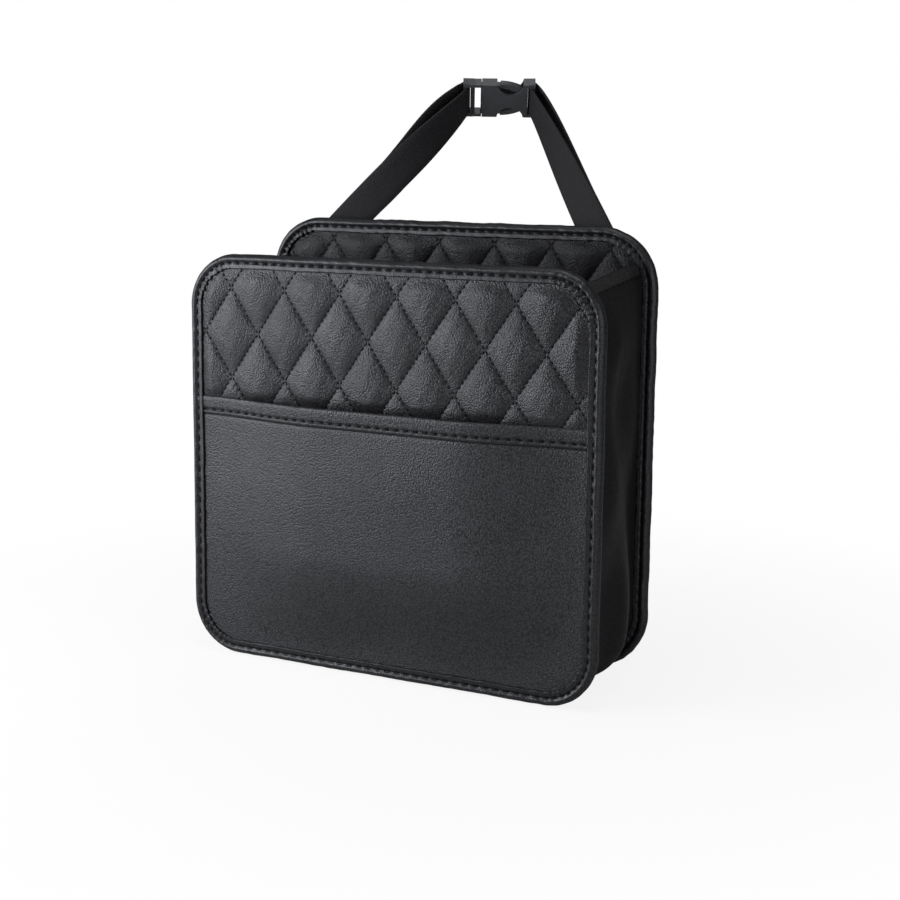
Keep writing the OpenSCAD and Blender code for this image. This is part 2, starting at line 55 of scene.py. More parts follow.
studio = bpy.data.worlds.new("studio")
bpy.context.scene.world = studio
studio.use_nodes = True
studio_nodes = studio.node_tree.nodes
studio_links = studio.node_tree.links
studio_nodes.clear()
seen = studio_nodes.new("ShaderNodeLightPath")
seen_or_mirrored = studio_nodes.new("ShaderNodeMath")
seen_or_mirrored.operation = "MAXIMUM"
studio_links.new(seen.outputs["Is Camera Ray"], seen_or_mirrored.inputs[0])
studio_links.new(seen.outputs["Is Transmission Ray"], seen_or_mirrored.inputs[1])
room_light = studio_nodes.new("ShaderNodeBackground")
room_light.inputs["Color"].default_value = (1, 1, 1, 1)
room_light.inputs["Strength"].default_value = 0.1
white_wall = studio_nodes.new("ShaderNodeBackground")
white_wall.inputs["Color"].default_value = (1, 1, 1, 1)
white_wall.inputs["Strength"].default_value = 1.0
either = studio_nodes.new("ShaderNodeMixShader")
studio_links.new(seen_or_mirrored.outputs[0], either.inputs["Fac"])
studio_links.new(room_light.outputs[0], either.inputs[1])
studio_links.new(white_wall.outputs[0], either.inputs[2])
studio_out = studio_nodes.new("ShaderNodeOutputWorld")
studio_links.new(either.outputs[0], studio_out.inputs["Surface"])

bpy.ops.mesh.primitive_plane_add(size=14, location=(0, 0, -0.0004))
floor = bpy.context.object
floor.name = "studio_floor"
floor_paint = bpy.data.materials.new("floor_paint")
floor_paint.use_nodes = True
floor_nodes = floor_paint.node_tree.nodes
floor_links = floor_paint.node_tree.links
floor_bsdf = floor_nodes["Principled BSDF"]
floor_bsdf.inputs["Roughness"].default_value = 0.9
floor_bsdf.inputs["Specular IOR Level"].default_value = 0.0
floor_white = floor_nodes.new("ShaderNodeEmission")
floor_white.inputs["Color"].default_value = (1, 1, 1, 1)
floor_white.inputs["Strength"].default_value = 1.0
floor_place = floor_nodes.new("ShaderNodeTexCoord")
floor_reach = floor_nodes.new("ShaderNodeVectorMath")
floor_reach.operation = "LENGTH"
floor_links.new(floor_place.outputs["Object"], floor_reach.inputs[0])
floor_fade = floor_nodes.new("ShaderNodeMapRange")
floor_fade.interpolation_type = "SMOOTHSTEP"
floor_fade.inputs["From Min"].default_value = 0.12
floor_fade.inputs["From Max"].default_value = 0.48
floor_fade.inputs["To Min"].default_value = 0.87
floor_links.new(floor_reach.outputs["Value"], floor_fade.inputs["Value"])
floor_seen = floor_nodes.new("ShaderNodeLightPath")
floor_share = floor_nodes.new("ShaderNodeMath")
floor_share.operation = "MULTIPLY"
floor_links.new(floor_seen.outputs["Is Camera Ray"], floor_share.inputs[0])
floor_tone = floor_nodes.new("ShaderNodeMix")
floor_tone.data_type = "RGBA"
floor_tone.inputs["A"].default_value = (0.5, 0.5, 0.5, 1)
floor_tone.inputs["B"].default_value = (0.9, 0.9, 0.9, 1)
floor_links.new(floor_seen.outputs["Is Camera Ray"], floor_tone.inputs["Factor"])
floor_links.new(floor_tone.outputs["Result"], floor_bsdf.inputs["Base Color"])
floor_links.new(floor_fade.outputs["Result"], floor_share.inputs[1])
floor_mix = floor_nodes.new("ShaderNodeMixShader")
floor_links.new(floor_share.outputs[0], floor_mix.inputs["Fac"])
floor_links.new(floor_bsdf.outputs[0], floor_mix.inputs[1])
floor_links.new(floor_white.outputs[0], floor_mix.inputs[2])
floor_links.new(floor_mix.outputs[0], floor_nodes["Material Output"].inputs["Surface"])
floor.data.materials.append(floor_paint)


def soft_lamp(name, place, aim, size, watts):
    """A square lamp that faces the point it is aimed at."""
    lamp = bpy.data.objects.new(name, bpy.data.lights.new(name, "AREA"))
    lamp.data.shape = "SQUARE"
    lamp.data.size = size
    lamp.data.energy = watts
    lamp.location = place
    lamp.rotation_mode = "QUATERNION"
    lamp.rotation_quaternion = (Vector(aim) - Vector(place)).to_track_quat("-Z", "Y")
    bpy.context.scene.collection.objects.link(lamp)


soft_lamp("front_lamp", (-0.51, -0.56, 0.29), (-0.04, -0.05, 0.15), size=0.42, watts=4.9)
soft_lamp("right_lamp", (0.9, -1.0, 0.12), (0, 0, 0.25), size=0.4, watts=1.9)
soft_lamp("right_side_lamp", (1.15, -0.33, 0.42), (0.1, 0, 0.14), size=0.5, watts=2.4)
soft_lamp("left_side_lamp", (-1.1, -0.3, 0.42), (-0.1, 0, 0.14), size=0.5, watts=2.4)
soft_lamp("top_lamp", (0.1, -0.25, 1.4), (0, 0, 0.15), size=0.6, watts=5)
soft_lamp("rear_lamp", (-0.35, 1.2, 0.12), (0, 0, 0.13), size=0.7, watts=8)

# The camera stands in front of the bag, to its right and a little above it.
turn, tip, roll = math.radians(27.4), math.radians(10.0), math.radians(0.65)
away = Vector(
    (math.sin(turn) * math.cos(tip), -math.cos(turn) * math.cos(tip), math.sin(tip))
)
level = Vector((math.cos(turn), math.sin(turn), 0))
upright = away.cross(level)
rightward = level * math.cos(roll) + upright * math.sin(roll)
upward = upright * math.cos(roll) - level * math.sin(roll)
camera = bpy.data.objects.new("camera", bpy.data.cameras.new("camera"))
camera.data.lens = 68
camera.data.sensor_width = 36
camera.matrix_world = Matrix.Translation((0.45147, -0.86681, 0.29051)) @ Matrix(
    (rightward, upward, away)
).transposed().to_4x4()
bpy.context.scene.collection.objects.link(camera)
bpy.context.scene.camera = camera


# Front binding: a strip of black artificial leather folded round the edge of
# the front wall and stitched right through close to its inner lips. The fold
# is rolled and a little padded, and the strip is crowded at the four corners.

FRONT_WALL = dict(w=0.255, h=0.232, r=0.030)
FRONT_Y = -0.07445
FRONT_WALL_T = 0.0067
BINDING_SEAM = 0.0047
BINDING_STITCH = 0.0061
BINDING_THREAD = dict(length=0.0032, thickness=0.0010)
THREAD_SUNK = 0.0007
CORNER_CROWDING = 0.2


def wall_outline(w, h, r, step):
    """Points round a wall's edge, the way out from each, and the length so far."""
    points, outward, corner = [], [], []
    straight_w, straight_h, arc = w - 2 * r, h - 2 * r, r * math.pi / 2
    sides = [
        ((-straight_w / 2, 0), (1, 0), straight_w, (straight_w / 2, r), -90),
        ((w / 2, r), (0, 1), straight_h, (straight_w / 2, h - r), 0),
        ((straight_w / 2, h), (-1, 0), straight_w, (-straight_w / 2, h - r), 90),
        ((-w / 2, h - r), (0, -1), straight_h, (-straight_w / 2, r), 180),
    ]
    for (x, z), (dx, dz), length, (cx, cz), angle in sides:
        n = round(length / step)
        for t in np.arange(n) * length / n:
            points.append((x + dx * t, z + dz * t))
            outward.append((dz, -dx))
            corner.append(0)
        n = round(arc / step)
        for a in np.radians(angle + 90 * np.arange(n) / n):
            points.append((cx + r * math.cos(a), cz + r * math.sin(a)))
            outward.append((math.cos(a), math.sin(a)))
            corner.append(math.sin(2 * (a - math.radians(angle))))
    points, outward = np.array(points), np.array(outward)
    steps = np.linalg.norm(np.roll(points, -1, 0) - points, axis=1)
    along = np.concatenate([[0], np.cumsum(steps)[:-1]])
    return points, outward, np.array(corner), along, steps.sum()


def uneven(s, total, seed, waves):
    """A smooth uneven curve of about unit height that closes on itself."""
    rng = np.random.default_rng(seed)
    out = np.zeros_like(s)
    for k in waves:
        out += rng.normal() * np.sin(2 * math.pi * (k * s / total + rng.random()))
    return out / math.sqrt(len(waves))


def new_piece(name, corners, faces, material):
    """A smooth-shaded mesh in one material."""
    mesh = bpy.data.meshes.new(name)
    mesh.from_pydata([tuple(c) for c in corners], [], [tuple(f) for f in faces])
    mesh.polygons.foreach_set("use_smooth", [True] * len(mesh.polygons))
    mesh.update()
    piece = bpy.data.objects.new(name, mesh)
    bpy.context.scene.collection.objects.link(piece)
    mesh.materials.append(material)
    return piece


def lattice(rows, cols, rows_closed=False, cols_closed=False):
    """Four-cornered faces over rows by cols points, kept row after row."""
    j, i = np.meshgrid(
        np.arange(rows if rows_closed else rows - 1),
        np.arange(cols if cols_closed else cols - 1),
        indexing="ij",
    )
    a = (j * cols + i).ravel()
    b = (j * cols + (i + 1) % cols).ravel()
    c = ((j + 1) % rows * cols + (i + 1) % cols).ravel()
    d = ((j + 1) % rows * cols + i).ravel()
    return np.stack([a, b, c, d], 1).tolist()


def leather(name, colour, roughness, pebble, depth):
    """Artificial leather: a coat embossed with small pebbles, with painted highlight and shade on
    its grain, and painted shade, darker and less glossy, where a piece's pressed mark is high.
    """
    material = bpy.data.materials.new(name)
    material.use_nodes = True
    nodes, links = material.node_tree.nodes, material.node_tree.links
    coat = nodes["Principled BSDF"]
    coat.inputs["Specular Tint"].default_value = (0.90, 0.92, 1.0, 1)
    place = nodes.new("ShaderNodeTexCoord")

    stretch = nodes.new("ShaderNodeTexNoise")
    stretch.inputs["Scale"].default_value = 1 / (pebble * 2)
    stretch.inputs["Detail"].default_value = 2
    links.new(place.outputs["Object"], stretch.inputs["Vector"])
    centred = nodes.new("ShaderNodeVectorMath")
    centred.operation = "SUBTRACT"
    centred.inputs[1].default_value = (0.5, 0.5, 0.5)
    links.new(stretch.outputs["Color"], centred.inputs[0])
    bend = nodes.new("ShaderNodeVectorMath")
    bend.operation = "MULTIPLY_ADD"
    bend.inputs[1].default_value = (pebble * 0.2, pebble * 0.2, pebble * 0.2)
    links.new(centred.outputs[0], bend.inputs[0])
    links.new(place.outputs["Object"], bend.inputs[2])
    pebbles = nodes.new("ShaderNodeTexVoronoi")
    pebbles.feature = "F1"
    pebbles.inputs["Scale"].default_value = 1 / pebble
    links.new(bend.outputs[0], pebbles.inputs["Vector"])
    emboss = nodes.new("ShaderNodeBump")
    emboss.invert = True
    emboss.inputs["Strength"].default_value = 1.0
    emboss.inputs["Distance"].default_value = depth
    links.new(pebbles.outputs["Distance"], emboss.inputs["Height"])
    links.new(emboss.outputs["Normal"], coat.inputs["Normal"])

    worn = nodes.new("ShaderNodeTexNoise")
    worn.inputs["Scale"].default_value = 38
    worn.inputs["Detail"].default_value = 5
    links.new(place.outputs["Object"], worn.inputs["Vector"])
    shine = nodes.new("ShaderNodeMapRange")
    shine.inputs["From Min"].default_value = 0.3
    shine.inputs["From Max"].default_value = 0.7
    shine.inputs["To Min"].default_value = roughness - 0.05
    shine.inputs["To Max"].default_value = roughness + 0.07
    links.new(worn.outputs["Fac"], shine.inputs["Value"])
    links.new(shine.outputs["Result"], coat.inputs["Roughness"])

    # A piece's pressed mark is painted shade: where it is high, the colour is darker and the gloss
    # dimmer. It stands in for the shade in seams, grooves and creases and on faces that get little
    # light.
    pressed = nodes.new("ShaderNodeAttribute")
    pressed.attribute_name = "pressed"
    shaded_gloss = nodes.new("ShaderNodeMapRange")
    shaded_gloss.inputs["To Min"].default_value = 0.5
    shaded_gloss.inputs["To Max"].default_value = 0.06
    links.new(pressed.outputs["Fac"], shaded_gloss.inputs["Value"])
    links.new(shaded_gloss.outputs["Result"], coat.inputs["Specular IOR Level"])
    # Painted highlight on the pebbles' tops and painted shade in the hollows between them, drawn
    # into the colour.
    pebble_highlight_and_shade = nodes.new("ShaderNodeValToRGB")
    pebble_highlight_and_shade.color_ramp.elements[0].position = 0.2
    pebble_highlight_and_shade.color_ramp.elements[0].color = (*[c * 1.4 for c in colour], 1)
    pebble_highlight_and_shade.color_ramp.elements[1].position = 0.65
    pebble_highlight_and_shade.color_ramp.elements[1].color = (*[c * 0.3 for c in colour], 1)
    links.new(pebbles.outputs["Distance"], pebble_highlight_and_shade.inputs["Fac"])
    shaded_colour = nodes.new("ShaderNodeMix")
    shaded_colour.data_type = "RGBA"
    shaded_colour.inputs["B"].default_value = (*[c * 0.25 for c in colour], 1)
    links.new(pressed.outputs["Fac"], shaded_colour.inputs["Factor"])
    links.new(pebble_highlight_and_shade.outputs["Color"], shaded_colour.inputs["A"])
    links.new(shaded_colour.outputs["Result"], coat.inputs["Base Color"])
    return material


def paint_shade(piece, amounts):
    """Painted shade on each corner of a piece, from 0 to 1, kept as its pressed mark: shaded
    leather is drawn darker and less glossy.
    """
    mark = piece.data.attributes.new("pressed", "FLOAT", "POINT")
    mark.data.foreach_set("value", np.clip(amounts, 0, 1).astype(np.float32).ravel())


def stitch_count(along, corner, total):
    """Stitches so far round a wall's edge: they crowd together at its corners."""
    pace = 1 / (BINDING_STITCH * (1 - CORNER_CROWDING * np.abs(corner)))
    steps = np.diff(np.append(along, total))
    count = np.concatenate([[0], np.cumsum(pace * steps)])
    return count[:-1] * round(count[-1]) / count[-1], round(count[-1])


def binding_strip(name, wall, front, thick, material, seed, puckers):
    """The folded strip, in the section below, swept round a wall's edge."""
    points, outward, corner, along, total = wall_outline(**wall, step=0.0009)
    # in from the edge, out from the wall's face, share of the stitches' pull
    flap = [
        (0.00790, -0.0013, 0.0),
        (0.00815, -0.0006, 0.0),
        (0.00812, 0.0000, 0.1),
        (0.00785, 0.0003, 0.1),
        (0.00745, 0.00035, 0.1),
        (0.00700, 0.0002, 0.0),
        (0.00640, 0.0001, 0.0),
        (0.00580, 0.0001, 0.1),
        (0.00540, -0.0001, 0.5),
        (0.00505, -0.0002, 1.0),
        (0.00470, -0.0003, 1.0),
        (0.00435, -0.0002, 1.0),
        (0.00395, 0.0000, 0.5),
        (0.00340, 0.00045, 0.1),
        (0.00270, 0.0006, 0.0),
        (0.00190, 0.0004, 0.0),
        (0.00120, -0.0001, 0.0),
        (0.00060, -0.0009, 0.0),
        (0.00020, -0.0019, 0.0),
    ]
    # the strip's face is side 1 in front and -1 behind, and 0 where it turns in
    section = [(u, -o, p, 1) for u, o, p in flap]
    section += [(0.0, thick / 2, 0, 0)]
    section += [(u, thick + o, p, -1) for u, o, p in reversed(flap)]
    section += [(0.0078, thick - 0.0012, 0, 0), (0.0012, thick - 0.0012, 0, 0)]
    section += [(0.0012, 0.0012, 0, 0), (0.0078, 0.0012, 0, 0)]
    u, y, pull, side = np.array(section, float).T

    count, _ = stitch_count(along, corner, total)
    held = np.clip(0.6 - 0.9 * np.cos(2 * math.pi * count), 0, 1)
    loose = uneven(along, total, seed, range(7, 33, 3))
    lumps = uneven(along, total, seed + 1, range(40, 150, 7))
    ruffle = uneven(along, total, seed + 2, range(130, 270, 9))
    strength = np.ones_like(along)
    for quarter, amount in enumerate(puckers):
        sign = ((1, -1), (1, 1), (-1, 1), (-1, -1))[quarter]
        here = (np.sign(outward[:, 0]) == sign[0]) & (np.sign(outward[:, 1]) == sign[1])
        strength[here] = amount
    crowd = np.abs(corner) * strength
    fold = crowd * (0.12 * np.cos(2 * math.pi * count) + 0.95 * ruffle)
    crease = np.clip(1.5 * uneven(along, total, seed + 3, range(150, 270, 7)) - 0.5, 0, 1)
    crease = crease * np.abs(corner) * np.clip((strength - 0.6) / 1.4, 0, 1.2)
    zone = np.clip((u - 0.0034) / 0.0010, 0, 1) * np.abs(side)
    body = np.clip(1 - np.abs(u - 0.0030) / 0.0032, 0, 1)
    inner = np.clip((u - 0.0050) / 0.0016, 0, 1)
    rise = (
        0.00012 * lumps[:, None] * (body + 0.6 * inner)
        + 0.00010 * loose[:, None] * body
        + 0.00050 * fold[:, None] * (0.35 * body + inner)
        - 0.00045 * held[:, None] * pull
        - 0.00100 * crease[:, None] * zone
    )
    out_y = y - side * rise
    inner_edge = 0.00014 * loose + 0.00010 * lumps + 0.00060 * crowd * ruffle - 0.0010 * crease
    outer_edge = 0.00014 * loose + 0.00006 * lumps
    out_u = u + np.abs(side) * inner * inner_edge[:, None]
    out_u = out_u + np.clip(1 - u / 0.003, 0, 1) * outer_edge[:, None]
    x = points[:, :1] - outward[:, :1] * out_u
    z = points[:, 1:] - outward[:, 1:] * out_u
    corners = np.stack([x, front + out_y, z], -1).reshape(-1, 3)
    strip = new_piece(name, corners, lattice(len(points), len(section), True, True), material)
    # Painted shade in the stitch groove, deepest under each stitch, in the step at the inner lip,
    # on the turned-in faces and in the corners' creases.
    groove = np.exp(-(((u - BINDING_SEAM) / 0.00055) ** 2)) * np.abs(side)
    lip = np.exp(-(((u - 0.0083) / 0.0004) ** 2)) + (np.abs(side) < 1) * (u > 0.001)
    paint_shade(strip, groove * (0.45 + 0.55 * held[:, None]) + lip + 0.9 * crease[:, None] * zone)
    return strip


def stitch_row(name, middles, ways, outs, length, thickness):
    """Short lengths of thread, each sinking into the leather at its two ends."""
    sides, rings = 7, 6
    middles, ways, outs = (np.array(v, float) for v in (middles, ways, outs))
    across = np.cross(ways, outs)
    across /= np.linalg.norm(across, axis=1, keepdims=True)
    t = np.linspace(-1, 1, rings)
    radius = thickness / 2 * np.array([0.45, 0.9, 1, 1, 0.9, 0.45])
    sunk = -0.6 * thickness * t**2
    a = 2 * math.pi * np.arange(sides) / sides
    corners = (
        middles[:, None, None]
        + ways[:, None, None] * (t * length / 2)[None, :, None, None]
        + outs[:, None, None] * (sunk[:, None] + radius[:, None] * np.sin(a))[None, :, :, None]
        + across[:, None, None] * (radius[:, None] * np.cos(a))[None, :, :, None]
    ).reshape(-1, 3)
    one = lattice(rings, sides, cols_closed=True)
    one += [list(range(sides))[::-1], [(rings - 1) * sides + k for k in range(sides)]]
    faces = [[c + k * rings * sides for c in f] for k in range(len(middles)) for f in one]
    return new_piece(name, corners, faces, thread)


def seam_round(name, wall, y, out_y):
    """The stitches that hold a binding, one row round a wall's edge."""
    points, outward, corner, along, total = wall_outline(**wall, step=0.0005)
    count, stitches = stitch_count(along, corner, total)
    at = np.searchsorted(count, np.arange(stitches) + 0.5) % len(points)
    spot, out = points[at] - outward[at] * BINDING_SEAM, outward[at]
    middles = np.stack([spot[:, 0], np.full(len(at), y), spot[:, 1]], 1)
    ways = np.stack([-out[:, 1], np.zeros(len(at)), out[:, 0]], 1)
    outs = np.tile([0.0, out_y, 0.0], (len(at), 1))
    return stitch_row(name, middles, ways, outs, **BINDING_THREAD)


thread = bpy.data.materials.new("black_thread")
thread.use_nodes = True
thread_look = thread.node_tree.nodes["Principled BSDF"]
thread_look.inputs["Base Color"].default_value = (0.004, 0.004, 0.004, 1)
thread_look.inputs["Roughness"].default_value = 0.8
thread_look.inputs["Specular IOR Level"].default_value = 0.15

binding_leather = leather(
    "binding_leather", (0.017, 0.0174, 0.0195), roughness=0.42, pebble=0.0010, depth=0.00012
)
front_binding = binding_strip(
    "front_binding_leather", FRONT_WALL, FRONT_Y, FRONT_WALL_T,
    binding_leather, seed=3, puckers=(0.8, 2.4, 1.1, 0.8),
)
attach(front_binding, "bag")
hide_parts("front_binding")
for label, y, way in (
    ("outer", FRONT_Y + THREAD_SUNK, -1),
    ("inner", FRONT_Y + FRONT_WALL_T - THREAD_SUNK, 1),
):
    row = seam_round(f"front_binding_stitches_{label}", FRONT_WALL, y, way)
    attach(row, "bag")


# Front quilted cover: leather laid over thin foam and sewn through in diamonds.
# It covers the whole wall, and the part under the pocket is pressed flatter.

DIAMOND_W, DIAMOND_H = 0.0355, 0.0505
CROSSING = (-0.0107, 0.1877)
DIAMOND_STITCHES = 18
QUILT_THREAD = dict(length=0.0022, thickness=0.00068)
QUILT_BACKING = 0.0013
QUILT_MARGIN = 0.009
CUT_EDGE_IN = 0.0014
PUFF = 0.0027
PRESSED_PUFF = 0.35
FREE_STAND = 0.0009
NEEDLE_PUCKER = 0.00007
POCKET_TOP = 0.1505
POCKET_BULGE = 0.0080


def eased(t):
    """A smooth step from 0 to 1."""
    t = np.clip(t, 0, 1)
    return t * t * (3 - 2 * t)


def inside_wall(x, z, w, h, r):
    """How far a point lies inside a wall's edge."""
    qx, qz = np.abs(x) - (w / 2 - r), np.abs(z - h / 2) - (h / 2 - r)
    return r - np.hypot(np.maximum(qx, 0), np.maximum(qz, 0)) - np.minimum(np.maximum(qx, qz), 0)


def half_width(z, w, h, r, drawn_in):
    """Half a wall's width at a height, to a line drawn in from its edge."""
    rise = np.maximum.reduce([r - z, z - (h - r), np.zeros_like(z)])
    return w / 2 - r + np.sqrt(np.maximum((r - drawn_in) ** 2 - rise**2, 0))


def diamonds(x, z):
    """Pillow height from 0 in the seams to 1, the stitches' puckers, and painted shade along the
    seams, in dashes.
    """
    u, v = (x - CROSSING[0]) / DIAMOND_W, (z - CROSSING[1]) / DIAMOND_H
    one, two = np.abs(np.sin(math.pi * (u + v))), np.abs(np.sin(math.pi * (u - v)))
    cell = np.floor(u + v) * 12.9898 + np.floor(u - v) * 78.233
    own = np.abs(np.sin(cell)) * 0.24 + 0.88
    pillow = own * (one * two) ** 0.62
    holes = DIAMOND_STITCHES * math.pi
    pucker = np.exp(-one / 0.2) * np.cos(holes * (u - v))
    pucker += np.exp(-two / 0.2) * np.cos(holes * (u + v))
    drawn = np.sin(u * 19 + v * 7) * np.sin(v * 23 - u * 5) * (one * two) ** 0.5
    # Painted shade along the seams, in dashes.
    line = np.exp(-((one / 0.05) ** 2)) * (0.6 - 0.4 * np.cos(holes * (u - v)))
    line += np.exp(-((two / 0.05) ** 2)) * (0.6 - 0.4 * np.cos(holes * (u + v)))
    return pillow + 0.05 * drawn, pucker, line


def quilted_sheet(name, wall, base, stand, split, fine_from, coarse, material):
    """A wall-sized quilted sheet with a flat back. Its mesh follows the seams, each
    diamond is split so many times, and it is coarser upwards below one height."""
    dx, dz = DIAMOND_W / split, DIAMOND_H / split
    i = np.arange(-int(wall["w"] / dx), int(wall["w"] / dx))
    j = np.arange(-int(CROSSING[1] / dz), int((wall["h"] - CROSSING[1]) / dz) + 1)
    j = j[(CROSSING[1] + j * dz > fine_from) | (j % coarse == 0)]
    x, z = np.meshgrid(CROSSING[0] + i * dx, CROSSING[1] + j * dz)
    inside = inside_wall(x, z, **wall) > CUT_EDGE_IN
    height, line = stand(x, z)
    number = -np.ones(x.shape, int)
    number[inside] = np.arange(inside.sum())
    a, b, c, d = number[:-1, :-1], number[:-1, 1:], number[1:, 1:], number[1:, :-1]
    whole = np.minimum.reduce([a, b, c, d]) >= 0
    leaning = ((i[None, :-1] + j[:-1, None] + 1) % split == 0) & whole
    upright = whole & ~leaning
    halves = ((a, b, d, leaning), (b, c, d, leaning), (a, b, c, upright), (a, c, d, upright))
    faces = np.concatenate([np.stack([p[at], q[at], r[at]], 1) for p, q, r, at in halves])
    corners = np.stack([x, base - height, z], -1)[inside]
    piece = new_piece(name, corners, faces.tolist(), material)
    # Painted shade along the seams, darker and less glossy.
    paint_shade(piece, line[inside])
    shell = bmesh.new()
    shell.from_mesh(piece.data)
    bmesh.ops.delete(shell, geom=[v for v in shell.verts if not v.link_faces], context="VERTS")
    rim = [e for e in shell.edges if e.is_boundary]
    behind = bmesh.ops.extrude_edge_only(shell, edges=rim)["geom"]
    for v in behind:
        if isinstance(v, bmesh.types.BMVert):
            v.co.y = base + QUILT_BACKING
    open_rim = [e for e in behind if isinstance(e, bmesh.types.BMEdge) and e.is_boundary]
    bmesh.ops.holes_fill(shell, edges=open_rim)
    bmesh.ops.recalc_face_normals(shell, faces=shell.faces)
    shell.to_mesh(piece.data)
    shell.free()
    return piece


def quilt_seams(name, wall, low, high, y):
    """The stitches along both sets of seams, between two heights on a wall."""
    middles, ways = [], []
    length = math.hypot(DIAMOND_W, DIAMOND_H)
    for lean in (1, -1):
        way = np.array([lean * DIAMOND_W, DIAMOND_H]) / length
        for k in range(-12, 13):
            start = np.array([CROSSING[0] + k * DIAMOND_W, CROSSING[1]])
            t = (np.arange(-120, 120) + 0.5) * length / DIAMOND_STITCHES
            spots = start + t[:, None] * way
            keep = inside_wall(spots[:, 0], spots[:, 1], **wall) > QUILT_MARGIN
            keep &= (spots[:, 1] > low) & (spots[:, 1] < high)
            middles += [(x, y, z) for x, z in spots[keep]]
            ways += [(way[0], 0, way[1])] * int(keep.sum())
    outs = np.tile([0.0, -1.0, 0.0], (len(middles), 1))
    return stitch_row(name, middles, ways, outs, **QUILT_THREAD)


def pocket_swell(x, z):
    """How far the pocket's panel has left the wall, from 0 at its seams to 1."""
    edge = FRONT_WALL["w"] / 2 - 0.008
    return eased((edge - np.abs(x)) / 0.078) * eased((z - 0.008) / 0.060)


def front_stand(x, z):
    """How far the quilting stands off the front wall, and the painted shade along its seams."""
    inside = inside_wall(x, z, **FRONT_WALL)
    pillow, pucker, line = diamonds(x, z)
    free = eased((z - POCKET_TOP + 0.004) / 0.009)
    full = PUFF * eased((inside - 0.0072) / 0.0085)
    pressed = np.minimum(full * PRESSED_PUFF, 0.45 * POCKET_BULGE * pocket_swell(x, z))
    rough = NEEDLE_PUCKER * eased((inside - QUILT_MARGIN) / 0.003)
    puff = pressed + (full - pressed) * free
    height = FREE_STAND * free + puff * pillow + rough * pucker * free
    return height, line


quilted_leather = leather(
    "quilted_leather", (0.018, 0.0183, 0.0202), roughness=0.42, pebble=0.00095, depth=0.00027
)
front_quilt_y = FRONT_Y + 0.0018
front_quilt = quilted_sheet(
    "front_quilted_leather", FRONT_WALL, front_quilt_y, front_stand,
    split=60, fine_from=0.138, coarse=4, material=quilted_leather,
)
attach(front_quilt, "bag")
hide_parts("front_quilted_cover")
front_seams = quilt_seams(
    "front_quilting_stitches", FRONT_WALL, POCKET_TOP - 0.006, 0.226, front_quilt_y - 0.0011
)
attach(front_seams, "bag")


# Front pocket: one leather panel whose mouth is folded back and stitched down.
# Its sides and bottom lie in the binding, with enough slack to stand open.

HEM = 0.0078
HEM_EDGE = 0.0101
HEM_STITCH = 0.0059
POCKET_T = 0.0009


def mouth_drop(z):
    """Where the panel swells, its mouth hangs a little lower."""
    return 0.0004 * eased((z - 0.06) / 0.09)


def pocket_front(x, z):
    """The face of the pocket's panel, with its slack and its uneven lie."""
    swell = POCKET_BULGE * pocket_swell(x, z)
    soft = 0.00022 * np.sin(x * 61 + 1.3) * np.sin(z * 47 + 0.4)
    soft = soft + 0.00016 * np.sin(x * 23 - z * 88 + 2)
    free = eased((inside_wall(x, z, **FRONT_WALL) - 0.008) / 0.02)
    return FRONT_Y + POCKET_T - swell + soft * free


pocket_columns = np.linspace(-1, 1, 261)
# drop below the mouth, and how far out of the panel's face
up_the_face = np.linspace(CUT_EDGE_IN, POCKET_TOP - HEM_EDGE - 0.0035, 70)
profile = [(POCKET_TOP - z, 0.0) for z in up_the_face]
profile += [(HEM_EDGE + d, o) for d, o in (
    (0.0024, 0.00000), (0.0016, -0.00008), (0.0010, -0.00022),
    (0.0006, -0.00026), (0.0002, -0.00005), (-0.0002, 0.00028),
    (-0.0007, 0.00050), (-0.0012, 0.00052), (-0.0016, 0.00030),
)]
profile += [(HEM + d, o) for d, o in (
    (0.0004, -0.00010), (0.0000, -0.00028), (-0.0004, -0.00010),
    (-0.0008, 0.00018), (-0.0014, 0.00040),
)]
over_the_hem = np.linspace(HEM - 0.0022, 0.0014, 9)
profile += [(d, 0.00052 + 0.0001 * math.sin(d * 700)) for d in over_the_hem]
profile += [(0.0008, 0.00042), (0.0004, 0.00022), (0.0001, -0.00018), (0.0, -0.0007)]
profile += [(0.0001, -0.0012), (0.0005, -0.0015), (0.0012, -0.0016), (HEM_EDGE, -0.0016)]
profile += [(HEM_EDGE + 0.0006, -0.0009)]
down_the_back = np.linspace(POCKET_TOP - HEM_EDGE - 0.002, CUT_EDGE_IN, 30)
profile += [(POCKET_TOP - z, -POCKET_T) for z in down_the_back]
drop, lift = np.array(profile).T[:, :, None]
z = POCKET_TOP - drop
x = half_width(z, **FRONT_WALL, drawn_in=CUT_EDGE_IN) * pocket_columns
z = np.repeat(z, len(pocket_columns), 1)
# the hem's second layer lies flat in the side seams, where the mouth is shut
open_share = eased(pocket_swell(x, POCKET_TOP + 0 * x) * 3)
thin = np.where(lift < -POCKET_T, -POCKET_T + (lift + POCKET_T) * open_share, lift)
between_stitches = np.cos(2 * math.pi * x / HEM_STITCH)
stitched = np.exp(-(((drop - HEM) / 0.0011) ** 2)) * (lift > -0.0005)
y = pocket_front(x, z) - thin + 0.00022 * stitched * between_stitches
z = z - mouth_drop(z) * pocket_swell(x, z)
corners = np.stack([x, y, z], -1).reshape(-1, 3)
count = len(pocket_columns)
faces = lattice(len(profile), count, rows_closed=True)
left_end = [k * count for k in range(len(profile))]
faces += [left_end[::-1], [k + count - 1 for k in left_end]]
pocket_leather = leather(
    "pocket_leather", (0.024, 0.0245, 0.027), roughness=0.43, pebble=0.0010, depth=0.00022
)
front_pocket = new_piece("front_pocket_leather", corners, faces, pocket_leather)
